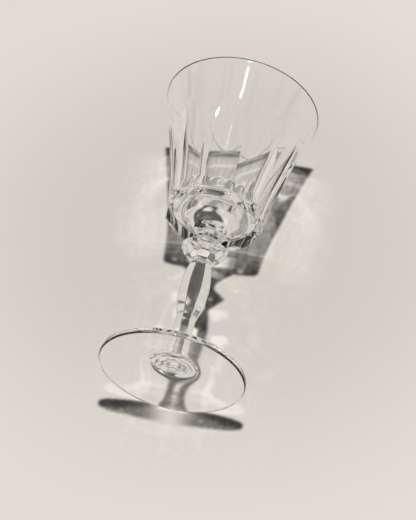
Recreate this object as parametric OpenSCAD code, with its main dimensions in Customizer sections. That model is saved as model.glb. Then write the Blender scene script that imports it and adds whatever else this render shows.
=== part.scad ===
// Stemmed wine glass in clear pressed crystal, standing upright on its foot.
// +Z is the axis of the glass, and the origin is the centre of the foot's underside.
// The pieces are welded hot, face to face, at level planes.

/* [Overall] */
// Height from the table to the rim
glass_h = 160.5; // [156:0.5:172]
// Diameter over the rim
rim_d = 79; // [74:0.5:84]
// Direction that the middle of one stem facet faces, in degrees about +Z
stem_turn = -79.5; // [-180:0.5:180]
// Direction that the middle of one bowl panel faces, in degrees about +Z
bowl_turn = -90; // [-180:0.5:180]

/* [Bowl] */
// Height of the bowl's flat underside above the table
bowl_z = 87; // [85:0.5:90]
// Radius that the round wall starts from at the underside, outside the panels' corners
wall_foot_r = 25.2; // [24.9:0.1:25.6]
// Number of ground panels round the lower part of the bowl
panels = 9; // [9:1:12]
// Distance from the axis to the middle of a panel, at the underside
shoulder_r = 22.5; // [22.3:0.1:23]
// Height of the panels, from the underside to where they fade out
panel_h = 55; // [50:0.5:57]
// Wall thickness at the rim
rim_wall = 2; // [1.6:0.1:2.3]
// Wall thickness at the middle of a panel, at the underside
panel_wall = 2.7; // [2.4:0.1:3.2]
// How steeply the inside widens above the panels: millimetres outward for each one up
hollow_slope = 0.316; // [0.3:0.002:0.33]
// Thickness of the glass under the drink
base_wall = 6.5; // [5:0.5:8]
// Chamfer round the bowl's underside
chamfer = 2; // [1:0.25:2.5]

/* [Neck] */
// Radius of the neck where it meets the bowl
neck_top_r = 14; // [12:0.5:16]

/* [Knop] */
// Height of the weld between the stem and the knop
knop_z = 61.7; // [60:0.1:63]
// Height of the weld between the knop and the neck
neck_z = 76.6; // [75.5:0.1:78]
// Height of the knop's sharp middle edge
knop_edge_z = 70.4; // [69:0.1:71]
// Distance from the axis to the knop's sharp middle edge
knop_r = 11.2; // [9.5:0.1:12]

/* [Stem] */
// Number of flat facets round the stem, the knop and the foot's root
facets = 8; // [6:1:10]
// Distance from the axis to a facet at the knop, where the stem is welded
waist_r = 4.7; // [4.3:0.1:5.2]
// Height of the knee, the stem's fullest place
knee_z = 45.5; // [43:0.5:48]
// Distance from the axis to a facet at the knee
knee_r = 7.1; // [6.4:0.1:8]
// Height at which the stem starts to swell towards the knee
thin_z = 27; // [24:0.5:29]
// Distance from the axis to a facet at the stem's thinnest place
thin_r = 4.5; // [4.1:0.1:5]

/* [Foot] */
// Diameter of the foot
foot_d = 69; // [66:0.5:74]
// Thickness of the foot at its edge
foot_edge = 3; // [2.5:0.25:3.5]
// Radius at which the height of the foot's trumpet is set
flare_r = 10.5; // [9.5:0.1:12]
// Height of the foot's trumpet at that radius
flare_z = 5.4; // [4.8:0.1:6.4]
// Rise of the dished underside at the centre of the foot
dish_z = 1.5; // [0.5:0.1:2]
// Radius of the dished hollow in the underside
dish_r = 24; // [20:1:28]
// Height of the weld between the foot and the stem
root_z = 16; // [15:0.5:18]

/* [Hidden] */
$fn = 96;
crystal = [0.86, 0.90, 0.90, 0.45];
rim_r = rim_d / 2;
foot_r = foot_d / 2;
wall_h = glass_h - bowl_z;
corner = 1 / cos(180 / facets);
// Slack that keeps two shapes from sharing a face
slack = 0.05;

// Steps that a curved outline is drawn in
wall_steps = 9;
panel_steps = 6;
low_steps = 6;
high_steps = 3;
arc_steps = 5;
flare_steps = 9;
dish_steps = 4;
swell_steps = 6;
waist_steps = 5;

rim_round = 0.45 * rim_wall;
drink_z = bowl_z + base_wall;
drink_round = 6;

// Bends of the outlines: 0 is straight, 1 leaves a level
wall_bend = 0.6;
panel_bend = 0.85;
hollow_bend = 0.53;

// A line from a to b that bends: bend 0 is straight, bend 1 leaves a level
function bent(a, b, t, bend) = a + (b - a) * ((1 - bend) * t + bend * t * t);

function steps(n) = [for (i = [0:n]) i / n];

// Points of a quarter turn of an ellipse, from angle a0 to a1 about centre c
function arc(c, rx, rz, a0, a1, n) =
    [for (t = steps(n)) c + [rx * cos(a0 + (a1 - a0) * t), rz * sin(a0 + (a1 - a0) * t)]];

// Outer radius of the round wall at height z
function wall_r(z) = bent(wall_foot_r, rim_r, (z - bowl_z) / wall_h, wall_bend);

// Inner radius at height z: a bent line up to the middle height, and a straight one above it
hollow_mid_h = 49;
hollow_mid_z = bowl_z + hollow_mid_h;
hollow_top_r = rim_r - rim_wall;
hollow_mid_r = hollow_top_r - hollow_slope * (glass_h - hollow_mid_z);
function hollow_r(z) = z < hollow_mid_z
    ? bent(shoulder_r - panel_wall, hollow_mid_r, (z - bowl_z) / hollow_mid_h, hollow_bend)
    : hollow_mid_r + hollow_slope * (z - hollow_mid_z);

// Distance from the axis to the middle of a panel at the fraction t of its height
function panel_r(t) = bent(shoulder_r, wall_r(bowl_z + panel_h) + slack, t, panel_bend);

// A solid with flat facets: side is the outline of its right half, from bottom to top
module faceted(side, sides, turn) {
    intersection_for (i = [0:sides - 1])
        rotate([0, 0, turn + i * 360 / sides])
            rotate([90, 0, 0])
                linear_extrude(height = 4 * foot_r, center = true)
                    polygon(concat(side, [[-foot_r, side[len(side) - 1][1]], [-foot_r, side[0][1]]]));
}

// A turned solid: side is its outline from the bottom of the axis to the top
module turned(side) {
    rotate_extrude()
        polygon(concat([[0, side[0][1]]], side, [[0, side[len(side) - 1][1]]]));
}

// ---- Foot: a thin disc, dished below, that rises like a trumpet into the stem's root ----
foot_round = 1;
flat_r = foot_r - foot_round;
dish_swell = 0.4;
flare_core = thin_r - 0.1;
flare_edge = 1 / sqrt(flat_r - flare_core);
flare_rise = (flare_z - foot_edge) / (1 / sqrt(flare_r - flare_core) - flare_edge);
// Gap between the trumpet and its core, at the foot's edge and at the weld with the stem
edge_gap = flat_r - flare_core;
root_gap = pow((root_z - foot_edge) / flare_rise + flare_edge, -2);
function foot_top(gap) = foot_edge + flare_rise * (1 / sqrt(gap) - flare_edge);
function dish(t) = dish_z * (1 - t) * (1 + dish_swell * t);
foot_side = concat(
    [for (i = [1:dish_steps]) let (t = i / dish_steps) [dish_r * t, dish(t)]],
    arc([flat_r, foot_round], foot_round, foot_round, -90, 0, 3),
    arc([flat_r, foot_edge - foot_round], foot_round, foot_round, 0, 85, 3),
    [for (i = [1:flare_steps])
        let (gap = edge_gap * pow(root_gap / edge_gap, i / flare_steps))
        [flare_core + gap, foot_top(gap)]]
);
// The facets of the stem run down the trumpet and fade out on it: how far out they are, in
// thin radii, and how far below the weld
root_swell = [[2.2, 10], [1.6, 8.6], [1.22, 6], [1.04, 3], [1, 0]];
clear_r = foot_r + 2;
root_side = concat(
    [[clear_r, 0], [clear_r, foot_edge]],
    [for (place = root_swell) [place[0] * thin_r, root_z - place[1]]]
);
module foot() {
    color(crystal)
        intersection() {
            turned(foot_side);
            faceted(root_side, facets, stem_turn);
        }
}

// ---- Stem: flat facets that swell to a knee and thin out below it ----
function eased(t) = (1 - cos(180 * t)) / 2;
stem_side = concat(
    [[thin_r, root_z]],
    [for (t = steps(swell_steps)) [thin_r + (knee_r - thin_r) * eased(t), thin_z + (knee_z - thin_z) * t]],
    [for (i = [1:waist_steps])
        let (t = i / waist_steps)
        [knee_r - (knee_r - waist_r) * t * t, knee_z + (knop_z - knee_z) * t]]
);
module stem() {
    color(crystal) faceted(stem_side, facets, stem_turn);
}

// ---- Knop: a sharp double cone of main facets, with small facets along its edge ----
throat_h = 1.5;
throat_r = waist_r + 0.45;
main_side = [[waist_r, knop_z], [throat_r, knop_z + throat_h], [knop_r, knop_edge_z],
             [throat_r, neck_z - throat_h], [waist_r, neck_z]];
edge_r = knop_r * 1.01;
edge_low_r = waist_r + 1.8;
edge_high_r = waist_r + 2.6;
edge_side = [[edge_low_r, knop_z], [edge_r, knop_edge_z], [edge_high_r, neck_z]];
module knop() {
    color(crystal)
        intersection() {
            faceted(main_side, facets, stem_turn);
            faceted(edge_side, facets, stem_turn + 180 / facets);
        }
}

// ---- Neck: a faceted waist that opens into a round cone under the bowl ----
neck_h = bowl_z - neck_z;
neck_steps = 7;
neck_power = 1.6;
waist_round = waist_r * corner + slack;
function neck_r(t) = waist_round + (neck_top_r - waist_round) * pow(t, neck_power);
neck_side = [for (t = steps(neck_steps)) [neck_r(t), neck_z + neck_h * t]];
neck_clear_r = neck_top_r + 1;
neck_flat = [[waist_r, neck_z], [waist_r + 0.9, neck_z + 0.3 * neck_h],
             [neck_clear_r, neck_z + 0.8 * neck_h], [neck_clear_r, bowl_z]];
module neck() {
    color(crystal)
        intersection() {
            turned(neck_side);
            faceted(neck_flat, facets, stem_turn);
        }
}

// ---- Bowl: a thick base, ground panels with sharp ribs, and a round wall above ----
chamfer_slope = 1.3;
wall_low_z = bowl_z + chamfer;
wall_high_z = glass_h - 2 * rim_round;
wall_side = concat(
    [[wall_r(wall_low_z) - chamfer_slope * chamfer, bowl_z]],
    [for (t = steps(wall_steps)) let (z = wall_low_z + (wall_high_z - wall_low_z) * t) [wall_r(z), z]],
    arc([rim_r - rim_round, glass_h - rim_round], rim_round, rim_round, 0, 90, 3)
);
hollow_low = drink_z + drink_round;
above_rim = 1;
hollow_side = concat(
    arc([hollow_r(hollow_low) - drink_round, hollow_low], drink_round, drink_round, -90, 0, arc_steps),
    [for (i = [1:low_steps]) let (z = hollow_low + (hollow_mid_z - hollow_low) * i / low_steps)
        [hollow_r(z), z]],
    [for (i = [1:high_steps]) let (z = hollow_mid_z + (glass_h - hollow_mid_z) * i / high_steps)
        [hollow_r(z), z]],
    [[hollow_top_r, glass_h + above_rim]]
);
below_bowl = 1;
panel_side = [for (t = steps(panel_steps)) [panel_r(t), bowl_z + panel_h * t]];
cut_r = rim_r + 5;
cut_w = 1.1 * rim_r;
// What is ground away outside one panel
module panel_cut(i) {
    rotate([0, 0, bowl_turn + i * 360 / panels])
        rotate([90, 0, 0])
            linear_extrude(height = cut_w, center = true)
                polygon(concat(
                    [[panel_r(0) - slack, bowl_z - below_bowl]],
                    panel_side,
                    [[cut_r, bowl_z + panel_h], [cut_r, bowl_z - below_bowl]]
                ));
}
module bowl() {
    color(crystal)
        difference() {
            turned(wall_side);
            turned(hollow_side);
            for (i = [0:panels - 1]) panel_cut(i);
        }
}

foot();
stem();
knop();
neck();
bowl();
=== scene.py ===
"""Looks of the wine glass: clear pressed crystal, lying on a pale sheet under one small lamp.

All sizes are in metres and in the frame of the CAD part: +Z is the axis of the glass, and the
origin is the centre of the foot's underside. Each CAD piece is replaced by one finer closed mesh
with the same size and welds, but with smooth curves, hollow panels and fire-polished edges.
"""

import math

import bpy
import numpy as np
from mathutils import Matrix, Vector
from mathutils.bvhtree import BVHTree


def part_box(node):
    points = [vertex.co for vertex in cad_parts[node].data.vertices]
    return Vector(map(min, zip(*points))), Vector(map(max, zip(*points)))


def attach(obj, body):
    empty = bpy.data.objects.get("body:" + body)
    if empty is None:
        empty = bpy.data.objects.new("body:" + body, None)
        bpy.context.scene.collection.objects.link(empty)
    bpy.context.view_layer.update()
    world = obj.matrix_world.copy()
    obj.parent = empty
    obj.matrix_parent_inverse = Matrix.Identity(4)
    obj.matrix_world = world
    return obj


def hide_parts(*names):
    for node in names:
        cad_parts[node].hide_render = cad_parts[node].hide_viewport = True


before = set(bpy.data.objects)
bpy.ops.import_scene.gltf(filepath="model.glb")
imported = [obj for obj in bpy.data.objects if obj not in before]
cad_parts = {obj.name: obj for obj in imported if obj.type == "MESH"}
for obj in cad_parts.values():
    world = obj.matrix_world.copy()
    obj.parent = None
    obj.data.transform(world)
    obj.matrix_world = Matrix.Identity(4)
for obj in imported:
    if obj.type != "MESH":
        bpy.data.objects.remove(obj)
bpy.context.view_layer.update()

MM = 0.001

# ---- sizes that the frame gives ----
FOOT_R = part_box("foot")[1].x
ROOT_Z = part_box("foot")[1].z
KNOP_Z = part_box("stem")[1].z
NECK_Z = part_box("knop")[1].z
BOWL_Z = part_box("neck")[1].z
GLASS_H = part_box("bowl")[1].z
RIM_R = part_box("bowl")[1].x
NECK_TOP_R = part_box("neck")[1].x

# ---- sizes that the design repeats from the CAD ----
PANELS = 9
FACETS = 8
BOWL_TURN = math.radians(-90)
STEM_TURN = math.radians(-79.5)
SHOULDER_R = 22.5 * MM
PANEL_H = 55 * MM
RIM_WALL = 2 * MM
BASE_WALL = 6.5 * MM
CHAMFER = 2 * MM
KNOP_EDGE_Z = 70.4 * MM
KNOP_R = 11.2 * MM
WAIST_R = 4.7 * MM
KNEE_Z = 45.5 * MM
KNEE_R = 7.1 * MM
THIN_Z = 27 * MM
THIN_R = 4.5 * MM
FOOT_EDGE = 3 * MM
FLARE_R = 10.5 * MM
FLARE_Z = 5.4 * MM
DISH_Z = 1.5 * MM
DISH_R = 24 * MM

# ---- finer than the CAD: the panels' hollow, and how far each kind of edge is rounded ----
FLUTE_AXIS = 77.5 * MM
RIB_SOFT = 0.30 * MM
ARCH_SOFT = 0.28 * MM
FACET_SOFT = 0.22 * MM
KNOP_SOFT = 0.16 * MM

# ---- how far a facet's columns draw together at its edges: 0 is not at all ----
CROWDED = 0.75

# ---- camera ----
CAMERA_YAW = math.radians(10.5)
CAMERA_PITCH = math.radians(-33.6)
CAMERA_ROLL = math.radians(14.9)
CAMERA_DISTANCE = 765.9 * MM
CAMERA_TARGET = Vector((2.8, 0, 65.2)) * MM
CAMERA_LENS = 110.8
CAMERA_SENSOR = 36
CAMERA_NEAR = 0.01
CAMERA_FAR = 50


def bent(a, b, t, bend):
    """From a to b as t goes from 0 to 1, bending so that it leaves less steeply."""
    return a + (b - a) * ((1 - bend) * t + bend * t * t)


def soft_min(a, b, soft):
    """The smaller of a and b, rounded over where they are less than soft apart."""
    h = np.clip(0.5 + 0.5 * (b - a) / soft, 0, 1)
    return b * (1 - h) + a * h - soft * h * (1 - h)


def arc(centre_r, centre_z, radius_r, radius_z, start, end, count):
    """Points (r, z) of part of an ellipse, from one angle in degrees to another."""
    turn = np.radians(np.linspace(start, end, count))
    return list(zip(centre_r + radius_r * np.cos(turn), centre_z + radius_z * np.sin(turn)))


def columns(sides, turn, count):
    """Azimuths all round: evenly spread in each facet, with the facet's edges met exactly."""
    return turn + math.pi / sides + np.arange(sides * count) * 2 * math.pi / (sides * count)


def crowded_columns(sides, turn, count):
    """Azimuths all round, closer together near the edges between facets."""
    t = np.linspace(-1, 1, count + 1)[:-1]
    eased = np.sin(t * math.pi / 2) * CROWDED + t * (1 - CROWDED)
    one = eased * math.pi / sides
    return np.concatenate([turn + i * 2 * math.pi / sides + one for i in range(sides)])


def flutes(azimuth, middle_r, sides, turn, soft):
    """Distance from the axis to hollow-ground panels, whose middles are middle_r away. Each is
    turned round an upright axis that is FLUTE_AXIS away."""
    step = 2 * math.pi / sides
    off = np.abs((azimuth - turn + step / 2) % step - step / 2)
    hollow = FLUTE_AXIS - middle_r
    found = []
    for angle in (off, step - off):
        inside = np.maximum(hollow ** 2 - (FLUTE_AXIS * np.sin(angle)) ** 2, 0)
        found.append(FLUTE_AXIS * np.cos(angle) - np.sqrt(inside))
    return soft_min(found[0], found[1], soft)


def flats(azimuth, flat_r, sides, turn, soft):
    """Distance from the axis to flat facets, whose middles are flat_r away."""
    step = 2 * math.pi / sides
    off = np.abs((azimuth - turn + step / 2) % step - step / 2)
    return soft_min(flat_r / np.cos(off), flat_r / np.cos(step - off), soft)


def closed_skin(name, rings, welds):
    """A closed mesh over rings of points. welds holds the indices of the bands that are welds,
    where band i lies between ring i and ring i + 1. Band -1 caps the first ring and band
    len(rings) - 1 the last."""
    count = len(rings[0])
    verts = np.concatenate(rings)
    first_tip = np.array([[0, 0, rings[0][:, 2].mean()]])
    last_tip = np.array([[0, 0, rings[-1][:, 2].mean()]])
    verts = np.concatenate([verts, first_tip, last_tip])
    first_id = len(verts) - 2
    last_id = len(verts) - 1
    around = np.arange(count)
    after = (around + 1) % count
    faces = []
    slots = []
    top = (len(rings) - 1) * count
    for tip, start, band in ((first_id, 0, -1), (last_id, top, len(rings) - 1)):
        for a, b in zip(around + start, after + start):
            faces.append((tip, b, a) if band < 0 else (tip, a, b))
            slots.append(int(band in welds))
    for band in range(len(rings) - 1):
        low = band * count
        high = low + count
        is_weld = int(band in welds)
        for a, b in zip(around, after):
            faces.append((low + a, low + b, high + b, high + a))
            slots.append(is_weld)
    mesh = bpy.data.meshes.new(name)
    mesh.from_pydata(verts.tolist(), [], [tuple(int(i) for i in f) for f in faces])
    mesh.polygons.foreach_set("material_index", slots)
    mesh.polygons.foreach_set("use_smooth", [True] * len(faces))
    mesh.update()
    return mesh


def finish_mesh(name, mesh):
    """Links a piece made of glass and of the clear weld faces inside the body."""
    mesh.materials.append(CRYSTAL)
    mesh.materials.append(WELD)
    piece = bpy.data.objects.new(name, mesh)
    bpy.context.scene.collection.objects.link(piece)
    sharpen_weld_edges(mesh)
    return piece


def sharpen_weld_edges(mesh):
    """Keeps the shading of the glass from bending round onto a weld face."""
    slots = np.zeros(len(mesh.polygons), int)
    mesh.polygons.foreach_get("material_index", slots)
    loops = np.zeros(len(mesh.loops), int)
    mesh.loops.foreach_get("edge_index", loops)
    glass_edges = np.zeros(len(mesh.edges), bool)
    weld_edges = np.zeros(len(mesh.edges), bool)
    totals = np.zeros(len(mesh.polygons), int)
    mesh.polygons.foreach_get("loop_total", totals)
    loop_slots = np.repeat(slots, totals)
    glass_edges[loops[loop_slots == 0]] = True
    weld_edges[loops[loop_slots == 1]] = True
    sharp = mesh.attributes.new("sharp_edge", "BOOLEAN", "EDGE")
    sharp.data.foreach_set("value", glass_edges & weld_edges)


def ring(azimuth, radius, height):
    """Points at one height, or at one height for each azimuth."""
    radius = np.broadcast_to(radius, azimuth.shape)
    height = np.broadcast_to(height, azimuth.shape)
    return np.stack([radius * np.cos(azimuth), radius * np.sin(azimuth), height], axis=1)


def smooth_line(points, at):
    """Radius at each height of a smooth line through points (r, z), which goes up all the way and
    doesn't swing past a point."""
    radii = np.array([p[0] for p in points])
    heights = np.array([p[1] for p in points])
    gaps = np.diff(heights)
    slopes = np.diff(radii) / gaps
    tangents = np.zeros(len(points))
    tangents[0] = slopes[0]
    tangents[-1] = slopes[-1]
    same = slopes[:-1] * slopes[1:] > 0
    w1 = 2 * gaps[1:] + gaps[:-1]
    w2 = gaps[1:] + 2 * gaps[:-1]
    inner = np.zeros(len(points) - 2)
    inner[same] = (w1 + w2)[same] / (w1[same] / slopes[:-1][same] + w2[same] / slopes[1:][same])
    tangents[1:-1] = inner
    cell = np.clip(np.searchsorted(heights, at) - 1, 0, len(gaps) - 1)
    u = (at - heights[cell]) / gaps[cell]
    h = gaps[cell]
    return ((1 + 2 * u) * (1 - u) ** 2 * radii[cell] + u * (1 - u) ** 2 * h * tangents[cell]
            + u * u * (3 - 2 * u) * radii[cell + 1] + u * u * (u - 1) * h * tangents[cell + 1])


# ---- bowl ----
WALL_H = GLASS_H - BOWL_Z
WALL_FOOT_R = 25.2 * MM
WALL_BEND = 0.6
PANEL_TOP = BOWL_Z + PANEL_H
PANEL_BEND = 0.85
PANEL_CLEAR = 0.05 * MM
PLAIN_Z = PANEL_TOP + 6 * MM
CHAMFER_SLOPE = 1.3
CHAMFER_LEAST = 0.05 * MM
CHAMFER_ROUNDS = 4
RIM_OUT = 0.85 * MM
RIM_IN = 0.75 * MM
DRINK_Z = BOWL_Z + BASE_WALL
DRINK_ROUND = 6 * MM
HOLLOW_LOW_R = 19.8 * MM
HOLLOW_LOW_BEND = 0.53
HOLLOW_MID_R = 29.76 * MM
HOLLOW_MID_Z = 136 * MM
HOLLOW_HIGH_BEND = 0.05

# ---- the bowl's columns: half as many as a panel has, and how they draw together ----
HALF_COLUMNS = 16
COLUMN_STEPS = 240
CROWD_WIDTH = 0.035
ARCH_CROWD = 5
RIB_CROWD = 2
CROWD_FADE = 12 * MM

# ---- the bowl's rings ----
WELD_RINGS = 4
UNDER_WELD = 3 * MM
UNDER_EDGE = (1.2 * MM, 0.12 * MM)
CHAMFER_RINGS = (0.08, 0.35, 0.7, 0.94)
PANEL_START = 0.10 * MM
PANEL_FIRST = 0.02
PANEL_RINGS = 70
WALL_RINGS = 22
RIM_RINGS = 6
HOLLOW_RINGS = 46
CORNER_RINGS = 12
BOTTOM_RINGS = (0.8, 0.5, 0.2)


def wall_r(z):
    """Outer radius of the round wall, before the panels are ground into it."""
    return bent(WALL_FOOT_R, RIM_R, (z - BOWL_Z) / WALL_H, WALL_BEND)


def hollow_r(z):
    """Inner radius: curved low down, and all but straight above the panels."""
    low_t = (z - BOWL_Z) / (HOLLOW_MID_Z - BOWL_Z)
    low = bent(HOLLOW_LOW_R, HOLLOW_MID_R, low_t, HOLLOW_LOW_BEND)
    high_t = (z - HOLLOW_MID_Z) / (GLASS_H - HOLLOW_MID_Z)
    high = bent(HOLLOW_MID_R, RIM_R - RIM_WALL, high_t, HOLLOW_HIGH_BEND)
    return np.where(z < HOLLOW_MID_Z, low, high)


def panel_r(z):
    """Distance from the axis to a panel's middle. At PANEL_TOP it has just left the wall."""
    top_r = wall_r(PANEL_TOP) + PANEL_CLEAR
    return bent(SHOULDER_R, top_r, (z - BOWL_Z) / PANEL_H, PANEL_BEND)


def bowl_azimuths(z):
    """Azimuths of the bowl's columns at a height: they draw together along the arch in which a
    panel ends, and along the rib between two panels."""
    half = math.pi / PANELS
    depth = max(wall_r(z) - panel_r(z), 0)
    hollow = FLUTE_AXIS - panel_r(z)
    edge = min(math.sqrt(2 * depth / (1 / hollow + 1 / wall_r(z))) / wall_r(z), half)
    faded = 1 - min(max((z - PANEL_TOP) / CROWD_FADE, 0), 1)
    fine = np.linspace(0, half, COLUMN_STEPS)
    near_arch = np.exp(-(((fine - edge) / CROWD_WIDTH) ** 2))
    near_rib = np.exp(-(((fine - half) / CROWD_WIDTH) ** 2))
    weight = 1 + ARCH_CROWD * faded * near_arch + RIB_CROWD * faded * near_rib
    total = np.concatenate([[0], np.cumsum((weight[1:] + weight[:-1]) / 2)])
    offsets = np.interp(np.linspace(0, total[-1], HALF_COLUMNS + 1), total, fine)
    one = np.concatenate([-offsets[::-1], offsets[1:-1]])
    return np.concatenate([BOWL_TURN + i * 2 * half + one for i in range(PANELS)])


def outer_r(azimuth, z):
    """Outside of the bowl: the round wall with hollow panels ground into it."""
    ground = flutes(azimuth, panel_r(z), PANELS, BOWL_TURN, RIB_SOFT)
    cut = soft_min(wall_r(z), ground, ARCH_SOFT)
    return np.where(z > PLAIN_Z, wall_r(z), np.minimum(cut, wall_r(z)))


def chamfer_point(azimuth):
    """Radius at which the chamfer under the bowl starts, and heights where it meets the panels."""
    inside_r = wall_r(BOWL_Z + CHAMFER) - CHAMFER_SLOPE * CHAMFER
    z = np.full(azimuth.shape, BOWL_Z + CHAMFER / 2)
    for _ in range(CHAMFER_ROUNDS):
        z = BOWL_Z + (outer_r(azimuth, z) - inside_r) / CHAMFER_SLOPE
    return inside_r, np.clip(z, BOWL_Z + CHAMFER_LEAST, BOWL_Z + CHAMFER)


def build_bowl():
    low = bowl_azimuths(BOWL_Z)
    inside_r, meet_z = chamfer_point(low)
    meet_r = outer_r(low, meet_z)
    rings = [ring(low, r, BOWL_Z) for r in np.linspace(1 / WELD_RINGS, 1, WELD_RINGS) * NECK_TOP_R]
    welds = set(range(-1, WELD_RINGS - 1))
    for r in (NECK_TOP_R + UNDER_WELD, inside_r - UNDER_EDGE[0], inside_r - UNDER_EDGE[1]):
        rings.append(ring(low, r, BOWL_Z))
    for t in CHAMFER_RINGS:
        rings.append(ring(low, inside_r + (meet_r - inside_r) * t, BOWL_Z + (meet_z - BOWL_Z) * t))
    start_z = meet_z + PANEL_START
    rings.append(ring(low, outer_r(low, start_z), start_z))
    ground_z = BOWL_Z + CHAMFER
    heights = np.concatenate([
        ground_z + np.linspace(PANEL_FIRST, 1, PANEL_RINGS) * (PANEL_TOP - ground_z),
        np.linspace(PANEL_TOP, GLASS_H - RIM_OUT, WALL_RINGS)[1:],
    ])
    for z in heights:
        azimuth = bowl_azimuths(z)
        rings.append(ring(azimuth, outer_r(azimuth, z), z))
    plain = bowl_azimuths(GLASS_H)
    for r, z in arc(RIM_R - RIM_OUT, GLASS_H - RIM_OUT, RIM_OUT, RIM_OUT, 0, 90, RIM_RINGS)[1:]:
        rings.append(ring(plain, r, z))
    inner_top = RIM_R - RIM_WALL
    for r, z in arc(inner_top + RIM_IN, GLASS_H - RIM_IN, RIM_IN, RIM_IN, 90, 180, RIM_RINGS):
        rings.append(ring(plain, r, z))
    corner_z = DRINK_Z + DRINK_ROUND
    corner_r = hollow_r(corner_z) - DRINK_ROUND
    for z in np.linspace(GLASS_H - RIM_IN, corner_z, HOLLOW_RINGS)[1:]:
        rings.append(ring(plain, hollow_r(z), z))
    for r, z in arc(corner_r, corner_z, DRINK_ROUND, DRINK_ROUND, 0, -90, CORNER_RINGS)[1:]:
        rings.append(ring(plain, r, z))
    for t in BOTTOM_RINGS:
        rings.append(ring(plain, corner_r * t, DRINK_Z))
    return closed_skin("bowl_glass", rings, welds)


# ---- neck ----
NECK_H = BOWL_Z - NECK_Z
NECK_OPENS = 1.6
NECK_COLUMNS = 24
NECK_RINGS = 44
WAIST_ROUND = WAIST_R / math.cos(math.pi / FACETS) + 0.05 * MM
NECK_FLAT = (
    (WAIST_R, NECK_Z),
    (WAIST_R + 0.9 * MM, NECK_Z + 0.3 * NECK_H),
    (NECK_TOP_R + 1 * MM, NECK_Z + 0.8 * NECK_H),
    (NECK_TOP_R + 1.4 * MM, BOWL_Z),
)


def build_neck():
    azimuth = crowded_columns(FACETS, STEM_TURN, NECK_COLUMNS)
    rings = []
    for t in np.linspace(0, 1, NECK_RINGS):
        z = NECK_Z + NECK_H * t
        round_r = WAIST_ROUND + (NECK_TOP_R - WAIST_ROUND) * t ** NECK_OPENS
        flat_r = smooth_line(NECK_FLAT, np.array([z]))[0]
        flat = flats(azimuth, flat_r, FACETS, STEM_TURN, FACET_SOFT)
        rings.append(ring(azimuth, soft_min(round_r, flat, FACET_SOFT), z))
    return closed_skin("neck_glass", rings, {-1, len(rings) - 1})


# ---- knop ----
THROAT = 1.5 * MM
THROAT_R = WAIST_R + 0.45 * MM
KNOP_COLUMNS = 18
KNOP_LOW_RINGS = 40
KNOP_HIGH_RINGS = 32
KNOP_MAIN = (
    (WAIST_R, KNOP_Z),
    (THROAT_R, KNOP_Z + THROAT),
    (KNOP_R, KNOP_EDGE_Z),
    (THROAT_R, NECK_Z - THROAT),
    (WAIST_R, NECK_Z),
)
KNOP_CUT = (
    (WAIST_R + 1.8 * MM, KNOP_Z),
    (KNOP_R * 1.01, KNOP_EDGE_Z),
    (WAIST_R + 2.6 * MM, NECK_Z),
)


def along(points, z):
    """Radius at height z of the straight lines through points (r, z)."""
    return float(np.interp(z, [p[1] for p in points], [p[0] for p in points]))


def build_knop():
    azimuth = columns(2 * FACETS, STEM_TURN, KNOP_COLUMNS)
    heights = np.concatenate([
        np.linspace(KNOP_Z, KNOP_EDGE_Z, KNOP_LOW_RINGS),
        np.linspace(KNOP_EDGE_Z, NECK_Z, KNOP_HIGH_RINGS)[1:],
    ])
    rings = []
    for z in heights:
        main = flats(azimuth, along(KNOP_MAIN, z), FACETS, STEM_TURN, KNOP_SOFT)
        cut = flats(azimuth, along(KNOP_CUT, z), FACETS, STEM_TURN + math.pi / FACETS, KNOP_SOFT)
        rings.append(ring(azimuth, soft_min(main, cut, KNOP_SOFT), z))
    return closed_skin("knop_glass", rings, {-1, len(rings) - 1})


# ---- stem ----
STEM_COLUMNS = 24
STEM_RINGS = 110


def stem_flat(z):
    """Distance from the axis to a facet: it swells smoothly to the knee, then thins upward."""
    low = np.clip((z - THIN_Z) / (KNEE_Z - THIN_Z), 0, 1)
    high = np.clip((z - KNEE_Z) / (KNOP_Z - KNEE_Z), 0, 1)
    swell = (KNEE_R - THIN_R) * (1 - np.cos(math.pi * low)) / 2
    return THIN_R + swell - (KNEE_R - WAIST_R) * high * high


def build_stem():
    azimuth = crowded_columns(FACETS, STEM_TURN, STEM_COLUMNS)
    rings = []
    for z in np.linspace(ROOT_Z, KNOP_Z, STEM_RINGS):
        rings.append(ring(azimuth, flats(azimuth, stem_flat(z), FACETS, STEM_TURN, FACET_SOFT), z))
    return closed_skin("stem_glass", rings, {-1, len(rings) - 1})


# ---- foot ----
FOOT_ROUND = 1 * MM
FOOT_FLAT_R = FOOT_R - FOOT_ROUND
FOOT_COLUMNS = 30
DISH_SWELL = 0.4
DISH_FIRST = 0.02
DISH_LIP = 0.3 * MM
DISH_RINGS = 24
EDGE_TURN = 85
EDGE_RINGS = 8
FLARE_RINGS = 90
NO_FACETS = 1.0
ROOT_FLAT = (
    (2.2 * THIN_R, ROOT_Z - 10 * MM),
    (1.6 * THIN_R, ROOT_Z - 8.6 * MM),
    (1.22 * THIN_R, ROOT_Z - 6 * MM),
    (1.04 * THIN_R, ROOT_Z - 3 * MM),
    (THIN_R, ROOT_Z),
)


# ---- the trumpet: its height rises with 1 / sqrt of the distance from a core inside the stem ----
FLARE_CORE = THIN_R - 0.1 * MM


def lift(r):
    return 1 / math.sqrt(r - FLARE_CORE)


FLARE_RISE = (FLARE_Z - FOOT_EDGE) / (lift(FLARE_R) - lift(FOOT_FLAT_R))
FLARE_END_R = FLARE_CORE + ((ROOT_Z - FOOT_EDGE) / FLARE_RISE + lift(FOOT_FLAT_R)) ** -2


def foot_top(r):
    """Height of the foot's upper side: almost level outside, and rising like a trumpet."""
    return FOOT_EDGE + FLARE_RISE * (lift(r) - lift(FOOT_FLAT_R))


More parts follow.
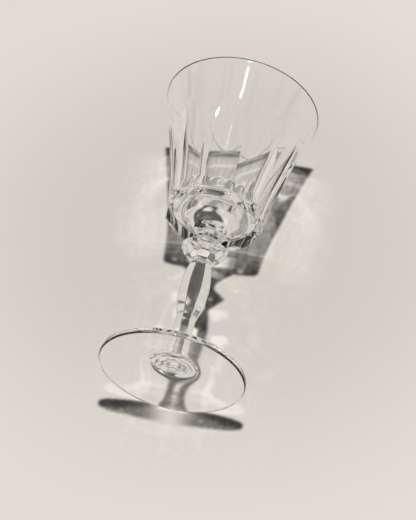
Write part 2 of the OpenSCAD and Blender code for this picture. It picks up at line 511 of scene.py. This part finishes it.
def build_foot():
    azimuth = crowded_columns(FACETS, STEM_TURN, FOOT_COLUMNS)
    rings = []
    for t in np.linspace(DISH_FIRST, 1, DISH_RINGS):
        rings.append(ring(azimuth, DISH_R * t, DISH_Z * (1 - t) * (1 + t * DISH_SWELL)))
    for r in (DISH_R + DISH_LIP, (DISH_R + FOOT_FLAT_R) / 2):
        rings.append(ring(azimuth, r, 0))
    for r, z in arc(FOOT_FLAT_R, FOOT_ROUND, FOOT_ROUND, FOOT_ROUND, -90, 0, EDGE_RINGS):
        rings.append(ring(azimuth, r, z))
    top_z = FOOT_EDGE - FOOT_ROUND
    for r, z in arc(FOOT_FLAT_R, top_z, FOOT_ROUND, FOOT_ROUND, 0, EDGE_TURN, EDGE_RINGS):
        rings.append(ring(azimuth, r, z))
    shrink = (FLARE_END_R - FLARE_CORE) / (FOOT_FLAT_R - FLARE_CORE)
    for t in np.linspace(0, 1, FLARE_RINGS)[1:]:
        r = FLARE_CORE + (FOOT_FLAT_R - FLARE_CORE) * shrink ** t
        z = foot_top(r)
        flat = np.full(azimuth.shape, NO_FACETS)
        if z > ROOT_FLAT[0][1]:
            facet_r = smooth_line(ROOT_FLAT, np.array([min(z, ROOT_Z)]))[0]
            flat = flats(azimuth, facet_r, FACETS, STEM_TURN, FACET_SOFT)
        rings.append(ring(azimuth, soft_min(r, flat, FACET_SOFT), z))
    return closed_skin("foot_glass", rings, {len(rings) - 1})


# ---- glass ----
GLASS_IOR = 1.53
GLASS_TINT = (0.985, 0.99, 0.985, 1)
SWELL_SCALE = 90
SWELL_DETAIL = 2
SWELL_STRENGTH = 0.10
SWELL_HEIGHT = 0.1 * MM
POLISH_SCALE = 240
POLISH_ROUGH = 0.02


def new_material(name):
    made = bpy.data.materials.new(name)
    made.use_nodes = True
    made.node_tree.nodes.clear()
    return made, made.node_tree.nodes, made.node_tree.links


def clear_weld():
    """Nothing shows where two pieces are melted together."""
    made, nodes, links = new_material("weld")
    clear = nodes.new("ShaderNodeBsdfTransparent")
    out = nodes.new("ShaderNodeOutputMaterial")
    links.new(clear.outputs[0], out.inputs["Surface"])
    return made


def crystal():
    """Clear glass with a faint swell in its surface and a slightly uneven polish. It lets all the
    lamp's light past, because its shadow and its glow are painted into the sheet's colour by the
    traced light pattern."""
    made, nodes, links = new_material("crystal")
    glass = nodes.new("ShaderNodeBsdfPrincipled")
    glass.inputs["Base Color"].default_value = GLASS_TINT
    glass.inputs["Metallic"].default_value = 0
    glass.inputs["Transmission Weight"].default_value = 1
    glass.inputs["IOR"].default_value = GLASS_IOR

    place = nodes.new("ShaderNodeTexCoord")
    swell = nodes.new("ShaderNodeTexNoise")
    swell.inputs["Scale"].default_value = SWELL_SCALE
    swell.inputs["Detail"].default_value = SWELL_DETAIL
    bump = nodes.new("ShaderNodeBump")
    bump.inputs["Strength"].default_value = SWELL_STRENGTH
    bump.inputs["Distance"].default_value = SWELL_HEIGHT
    links.new(place.outputs["Object"], swell.inputs["Vector"])
    links.new(swell.outputs["Fac"], bump.inputs["Height"])
    links.new(bump.outputs["Normal"], glass.inputs["Normal"])

    polish = nodes.new("ShaderNodeTexNoise")
    polish.inputs["Scale"].default_value = POLISH_SCALE
    rough = nodes.new("ShaderNodeMapRange")
    rough.inputs["To Min"].default_value = 0
    rough.inputs["To Max"].default_value = POLISH_ROUGH
    links.new(place.outputs["Object"], polish.inputs["Vector"])
    links.new(polish.outputs["Fac"], rough.inputs["Value"])
    links.new(rough.outputs["Result"], glass.inputs["Roughness"])

    clear = nodes.new("ShaderNodeBsdfTransparent")
    path = nodes.new("ShaderNodeLightPath")
    mix = nodes.new("ShaderNodeMixShader")
    out = nodes.new("ShaderNodeOutputMaterial")
    links.new(path.outputs["Is Shadow Ray"], mix.inputs[0])
    links.new(glass.outputs[0], mix.inputs[1])
    links.new(clear.outputs[0], mix.inputs[2])
    links.new(mix.outputs[0], out.inputs["Surface"])
    return made


# ---- sheet ----
SHEET_SIZE = 1.4
SHEET_GAP = 0.02 * MM
SHEET_MIDDLE = (0, 37 * MM, 112 * MM)
SHEET_TONES = ((0.745, 0.715, 0.665, 1), (0.775, 0.740, 0.690, 1))
CLOUD_SCALE = 6
CLOUD_DETAIL = 6
# Painted light: the sheet's tone is made paler away from SHEET_MIDDLE, up to PALER_MOST, standing in
# for how the light falls across it.
PALER_FROM = 60 * MM
PALER_TO = 190 * MM
PALER_MOST = 1.2
# Painted shade: the share of the sheet's tone left where the traced light doesn't reach.
AMBIENT_SHARE = 0.065


def paper():
    """Pale matt sheet, faintly clouded and painted paler outwards, seen from its front only. The
    glass's shadow and glow are painted into its colour from the traced light: where that light
    doesn't reach, AMBIENT_SHARE of its tone is left as painted shade."""
    made, nodes, links = new_material("pale_sheet")
    matt = nodes.new("ShaderNodeBsdfDiffuse")
    place = nodes.new("ShaderNodeTexCoord")
    cloud = nodes.new("ShaderNodeTexNoise")
    cloud.inputs["Scale"].default_value = CLOUD_SCALE
    cloud.inputs["Detail"].default_value = CLOUD_DETAIL
    tone = nodes.new("ShaderNodeValToRGB")
    tone.color_ramp.elements[0].color = SHEET_TONES[0]
    tone.color_ramp.elements[1].color = SHEET_TONES[1]
    links.new(place.outputs["Object"], cloud.inputs["Vector"])
    links.new(cloud.outputs["Fac"], tone.inputs[0])

    # Painted light: paler with distance from SHEET_MIDDLE.
    off = nodes.new("ShaderNodeVectorMath")
    off.operation = "DISTANCE"
    off.inputs[1].default_value = SHEET_MIDDLE
    outward = nodes.new("ShaderNodeMapRange")
    outward.interpolation_type = "SMOOTHSTEP"
    outward.inputs["From Min"].default_value = PALER_FROM
    outward.inputs["From Max"].default_value = PALER_TO
    outward.inputs["To Min"].default_value = 1
    outward.inputs["To Max"].default_value = PALER_MOST
    paler = nodes.new("ShaderNodeVectorMath")
    paler.operation = "SCALE"
    links.new(place.outputs["Object"], off.inputs[0])
    links.new(off.outputs["Value"], outward.inputs["Value"])
    links.new(tone.outputs[0], paler.inputs[0])
    links.new(outward.outputs["Result"], paler.inputs["Scale"])

    # Painted light and shade: the traced shadow and glow of the glass are painted into the sheet's
    # colour here, with AMBIENT_SHARE of the tone left where no traced light reaches.
    light = nodes.new("ShaderNodeAttribute")
    light.attribute_name = "painted_through_glass"
    fill = nodes.new("ShaderNodeMapRange")
    fill.clamp = False
    fill.inputs["To Min"].default_value = AMBIENT_SHARE
    lit = nodes.new("ShaderNodeVectorMath")
    lit.operation = "SCALE"
    links.new(light.outputs["Fac"], fill.inputs["Value"])
    links.new(paler.outputs["Vector"], lit.inputs[0])
    links.new(fill.outputs["Result"], lit.inputs["Scale"])
    links.new(lit.outputs["Vector"], matt.inputs["Color"])

    clear = nodes.new("ShaderNodeBsdfTransparent")
    side = nodes.new("ShaderNodeNewGeometry")
    mix = nodes.new("ShaderNodeMixShader")
    out = nodes.new("ShaderNodeOutputMaterial")
    links.new(side.outputs["Backfacing"], mix.inputs[0])
    links.new(matt.outputs[0], mix.inputs[1])
    links.new(clear.outputs[0], mix.inputs[2])
    links.new(mix.outputs[0], out.inputs["Surface"])
    return made


def sheet_axes():
    """A corner, two directions and the normal of the sheet: it touches the foot and the rim."""
    foot_point = Vector((0, FOOT_R, 0))
    rim_point = Vector((0, RIM_R, GLASS_H))
    up = (rim_point - foot_point).normalized()
    side = Vector((1, 0, 0))
    normal = side.cross(up)
    return foot_point - normal * SHEET_GAP, side, up, normal


# ---- lamp ----
LAMP_PLACE = Vector((0.124, -1.990, 0.198))
LAMP_R = 0.075
LAMP_POWER = 133
LAMP_COLOUR = (1.0, 0.985, 0.96)

# ---- light that falls through the glass, painted on to the sheet as shadow and glow ----
# U runs across the sheet and V up it, from where the foot touches it. LAMP_R sets how wide the
# highlights are, and LIGHT_FROM_R how soft the traced shadows are.
PATTERN_CELL = 0.5 * MM
PATTERN_U = (-62 * MM, 58 * MM)
PATTERN_V = (-34 * MM, 178 * MM)
PATTERN_FADE = 14 * MM
LIGHT_U = (-46 * MM, 44 * MM)
LIGHT_V = (-12 * MM, 164 * MM)
LIGHT_RAYS = 600000
LIGHT_FROM_R = 0.03
LIGHT_BLUR = 0.5 * MM
GLOW_BLUR = 1.3
MOST_GLOW = 0.4
MOST_BENDS = 14
PICK_SEED = 7
RAY_BACK = 0.12
RAY_STEP = 1e-6
LEAST_FALL = 0.02
LEAST_SENT = 0.5
GOLDEN_ROUNDS = 40
# Painted glow in the middle of the foot's shadow: its middle, half width and top on the sheet.
GAP_MIDDLE = -2.2 * MM
GAP_HALF = 6.5 * MM
GAP_TOP = 5 * MM


def glass_tree(meshes):
    """A search tree of all the glass faces that air touches."""
    verts = []
    faces = []
    for mesh in meshes:
        start = len(verts)
        verts.extend(v.co.copy() for v in mesh.vertices)
        faces.extend([start + i for i in f.vertices] for f in mesh.polygons if f.material_index == 0)
    return BVHTree.FromPolygons(verts, faces)


def bend_ray(direction, normal, chance):
    """The direction after a glass face: bent through it, or thrown back."""
    cos_in = -direction.dot(normal)
    ratio = 1 / GLASS_IOR
    if cos_in < 0:
        normal = -normal
        cos_in = -cos_in
        ratio = GLASS_IOR
    sin_sq = ratio * ratio * (1 - cos_in * cos_in)
    if sin_sq >= 1:
        return direction + normal * (2 * cos_in)
    cos_out = math.sqrt(1 - sin_sq)
    part_s = (ratio * cos_in - cos_out) / (ratio * cos_in + cos_out)
    part_p = (ratio * cos_out - cos_in) / (ratio * cos_out + cos_in)
    if chance < (part_s * part_s + part_p * part_p) / 2:
        return direction + normal * (2 * cos_in)
    return direction * ratio + normal * (ratio * cos_in - cos_out)


def even_points(count, sizes):
    """Points spread evenly through a unit box with sizes directions, stepping by powers of one
    over a generalised golden ratio."""
    base = 2.0
    for _ in range(GOLDEN_ROUNDS):
        base = (1 + base) ** (1 / (sizes + 1))
    steps = (1 / base) ** np.arange(1, sizes + 1)
    return (0.5 + np.arange(count)[:, None] * steps) % 1


def trace_light(tree):
    """Follows rays of lamp light to the sheet, aimed evenly over LIGHT_U and LIGHT_V. Gives where
    each was aimed, where those that meet glass were aimed, and where the ones of these that still
    reach the sheet land."""
    origin, side, up, normal = sheet_axes()
    even = even_points(LIGHT_RAYS, 4)
    us = (LIGHT_U[0] + (LIGHT_U[1] - LIGHT_U[0]) * even[:, 0]).tolist()
    vs = (LIGHT_V[0] + (LIGHT_V[1] - LIGHT_V[0]) * even[:, 1]).tolist()
    reach = LIGHT_FROM_R * np.sqrt(even[:, 2])
    turn = 2 * math.pi * even[:, 3]
    off_across = (reach * np.cos(turn)).tolist()
    off_up = (reach * np.sin(turn)).tolist()
    picks = np.random.default_rng(PICK_SEED).random((LIGHT_RAYS, MOST_BENDS)).tolist()
    across = normal.cross(up).normalized()
    met = []
    landed = []
    for i in range(LIGHT_RAYS):
        lit_from = LAMP_PLACE + across * off_across[i] + up * off_up[i]
        target = origin + side * us[i] + up * vs[i]
        direction = (target - lit_from).normalized()
        place, face, _, _ = tree.ray_cast(target - direction * RAY_BACK, direction)
        if place is None:
            continue
        met.append((us[i], vs[i]))
        for pick in picks[i]:
            direction = bend_ray(direction, face, pick)
            direction.normalize()
            last = place + direction * RAY_STEP
            place, face, _, _ = tree.ray_cast(last, direction)
            if place is None:
                break
        fall = direction.dot(normal)
        if place is None and fall < -LEAST_FALL:
            end = last - direction * ((last - origin).dot(normal) / fall) - origin
            landed.append((end.dot(side), end.dot(up)))
    return np.column_stack([us, vs]), np.array(met), np.array(landed)


def blurred(grid, sigma):
    """The grid after a Gaussian blur, sigma in cells."""
    reach = int(3 * sigma) + 1
    kernel = np.exp(-0.5 * (np.arange(-reach, reach + 1) / sigma) ** 2)
    kernel /= kernel.sum()
    for axis in (0, 1):
        grid = np.apply_along_axis(np.convolve, axis, grid, kernel, "same")
    return grid


def painted_light_pattern(tree, us, vs):
    """How much of the lamp's light reaches each point of the sheet's grid: 1 is all of it. This is
    painted into the sheet's colour as painted shadow and painted glow.
    """
    aimed, met, landed = trace_light(tree)
    u_edges = np.append(us, us[-1] + PATTERN_CELL) - PATTERN_CELL / 2
    v_edges = np.append(vs, vs[-1] + PATTERN_CELL) - PATTERN_CELL / 2
    share = (LIGHT_U[1] - LIGHT_U[0]) * (LIGHT_V[1] - LIGHT_V[0]) / LIGHT_RAYS / PATTERN_CELL ** 2
    sent = np.histogram2d(aimed[:, 0], aimed[:, 1], (u_edges, v_edges))[0]
    lost = np.histogram2d(met[:, 0], met[:, 1], (u_edges, v_edges))[0]
    found = np.histogram2d(landed[:, 0], landed[:, 1], (u_edges, v_edges))[0]
    sigma = LIGHT_BLUR / PATTERN_CELL
    shut = blurred(lost, sigma) / np.maximum(blurred(sent, sigma), LEAST_SENT)
    pattern = 1 - shut + share * blurred(found, GLOW_BLUR * sigma)
    bright = np.clip(pattern - 1, 0, None)
    pattern = np.clip(pattern, 0, 1) + MOST_GLOW * (1 - np.exp(-bright / MOST_GLOW))
    # Painted glow in the middle of the foot's shadow.
    pattern += np.clip(1 - pattern, 0, 1) * painted_foot_glow(us, vs)
    return 1 + (pattern - 1) * faded_edge(us)[:, None] * faded_edge(vs)[None, :]


# Painted light: a glow laid into the foot's shadow, not traced.
def painted_foot_glow(us, vs):
    """How far light fills the middle of the foot's shadow. The foot's rim gathers it like a lens,
    which the tracing hardly shows, so its place and size are given here."""
    across = np.exp(-0.5 * ((us - GAP_MIDDLE) / GAP_HALF) ** 2)
    below = np.clip((GAP_TOP - vs) / GAP_TOP, 0, 1)
    return across[:, None] * (below * below * (3 - 2 * below))[None, :]


def faded_edge(at):
    """1 over a range, but fading to 0 at its two ends."""
    inside = np.minimum(at - at[0], at[-1] - at)
    return np.clip(inside / PATTERN_FADE, 0, 1)


def build_sheet(tree):
    """The pale sheet that the glass lies on, with the light through the glass painted on to it as
    shadow and glow.
    """
    origin, side, up, _ = sheet_axes()
    us = np.arange(PATTERN_U[0], PATTERN_U[1], PATTERN_CELL)
    vs = np.arange(PATTERN_V[0], PATTERN_V[1], PATTERN_CELL)
    pattern = np.pad(painted_light_pattern(tree, us, vs), 1, constant_values=1.0)
    all_u = np.concatenate([[-SHEET_SIZE / 2], us, [SHEET_SIZE / 2]])
    all_v = np.concatenate([[-SHEET_SIZE / 2], vs, [SHEET_SIZE / 2]])
    grid_u, grid_v = np.meshgrid(all_u, all_v, indexing="ij")
    points = np.array(origin) + grid_u[..., None] * np.array(side) + grid_v[..., None] * np.array(up)
    rows, cols = grid_u.shape
    low = (np.arange(rows - 1)[:, None] * cols + np.arange(cols - 1)).ravel()
    faces = np.stack([low, low + cols, low + cols + 1, low + 1], axis=1)
    mesh = bpy.data.meshes.new("lying_sheet")
    mesh.from_pydata(points.reshape(-1, 3).tolist(), [], faces.tolist())
    # Painted shadow and glow: the traced pattern stored for the sheet's colour.
    light = mesh.attributes.new("painted_through_glass", "FLOAT", "POINT")
    light.data.foreach_set("value", pattern.ravel().astype(np.float32))
    mesh.materials.append(paper())
    made = bpy.data.objects.new("lying_sheet", mesh)
    bpy.context.scene.collection.objects.link(made)
    return made


def build_lamp():
    lamp = bpy.data.lights.new("lamp", "POINT")
    lamp.energy = LAMP_POWER
    lamp.shadow_soft_size = LAMP_R
    lamp.color = LAMP_COLOUR
    made = bpy.data.objects.new("lamp", lamp)
    made.location = LAMP_PLACE
    bpy.context.scene.collection.objects.link(made)


# ---- room ----
ROOM_SCALE = 4.0
ROOM_DETAIL = 1
ROOM_DARK = (0.035, 0.035, 0.033, 1)
ROOM_DARK_AT = 0.34
ROOM_PALE = (0.70, 0.665, 0.62, 1)
ROOM_PALE_AT = 0.44
BACKDROP = (0.66, 0.625, 0.575, 1)
ON_MATT = (0.02, 0.02, 0.019, 1)


def build_world():
    """A pale room. Matt things get little light from it, so shadows stay deep. Glass shows its
    dark corners, and the camera sees a plain backdrop."""
    world = bpy.data.worlds.new("room")
    bpy.context.scene.world = world
    world.use_nodes = True
    nodes = world.node_tree.nodes
    links = world.node_tree.links
    nodes.clear()
    path = nodes.new("ShaderNodeLightPath")
    place = nodes.new("ShaderNodeTexCoord")
    corners = nodes.new("ShaderNodeTexNoise")
    corners.inputs["Scale"].default_value = ROOM_SCALE
    corners.inputs["Detail"].default_value = ROOM_DETAIL
    tone = nodes.new("ShaderNodeValToRGB")
    tone.color_ramp.elements[0].position = ROOM_DARK_AT
    tone.color_ramp.elements[0].color = ROOM_DARK
    tone.color_ramp.elements[1].position = ROOM_PALE_AT
    tone.color_ramp.elements[1].color = ROOM_PALE
    room = nodes.new("ShaderNodeBackground")
    seen = nodes.new("ShaderNodeBackground")
    seen.inputs["Color"].default_value = BACKDROP
    dim = nodes.new("ShaderNodeBackground")
    dim.inputs["Color"].default_value = ON_MATT
    matt_or_room = nodes.new("ShaderNodeMixShader")
    seen_or_rest = nodes.new("ShaderNodeMixShader")
    out = nodes.new("ShaderNodeOutputWorld")
    links.new(place.outputs["Generated"], corners.inputs["Vector"])
    links.new(corners.outputs["Fac"], tone.inputs[0])
    links.new(tone.outputs[0], room.inputs["Color"])
    links.new(path.outputs["Is Diffuse Ray"], matt_or_room.inputs[0])
    links.new(room.outputs[0], matt_or_room.inputs[1])
    links.new(dim.outputs[0], matt_or_room.inputs[2])
    links.new(path.outputs["Is Camera Ray"], seen_or_rest.inputs[0])
    links.new(matt_or_room.outputs[0], seen_or_rest.inputs[1])
    links.new(seen.outputs[0], seen_or_rest.inputs[2])
    links.new(seen_or_rest.outputs[0], out.inputs["Surface"])


def build_camera():
    back = Vector((
        math.sin(CAMERA_YAW) * math.cos(CAMERA_PITCH),
        -math.cos(CAMERA_YAW) * math.cos(CAMERA_PITCH),
        math.sin(CAMERA_PITCH),
    ))
    right = (-back).cross(Vector((0, 0, 1))).normalized()
    up = right.cross(-back)
    roll_c = math.cos(CAMERA_ROLL)
    roll_s = math.sin(CAMERA_ROLL)
    rolled_right = roll_c * right + roll_s * up
    rolled_up = roll_c * up - roll_s * right
    lens = bpy.data.cameras.new("camera")
    lens.lens = CAMERA_LENS
    lens.sensor_width = CAMERA_SENSOR
    lens.clip_start = CAMERA_NEAR
    lens.clip_end = CAMERA_FAR
    made = bpy.data.objects.new("camera", lens)
    turn = Matrix((rolled_right, rolled_up, back)).transposed()
    made.matrix_world = Matrix.Translation(CAMERA_TARGET + back * CAMERA_DISTANCE) @ turn.to_4x4()
    bpy.context.scene.collection.objects.link(made)
    bpy.context.scene.camera = made


WELD = clear_weld()
CRYSTAL = crystal()

meshes = []
for node, build in (
    ("bowl", build_bowl),
    ("neck", build_neck),
    ("knop", build_knop),
    ("stem", build_stem),
    ("foot", build_foot),
):
    mesh = build()
    meshes.append(mesh)
    piece = finish_mesh(node + "_glass", mesh)
    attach(piece, "root")
    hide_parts(node)

build_sheet(glass_tree(meshes))
build_lamp()
build_world()
build_camera()

scene = bpy.context.scene
scene.view_settings.view_transform = "Standard"
scene.cycles.caustics_refractive = False
scene.cycles.caustics_reflective = False
scene.cycles.max_bounces = 24
scene.cycles.transmission_bounces = 20
scene.cycles.glossy_bounces = 8
scene.cycles.transparent_max_bounces = 32
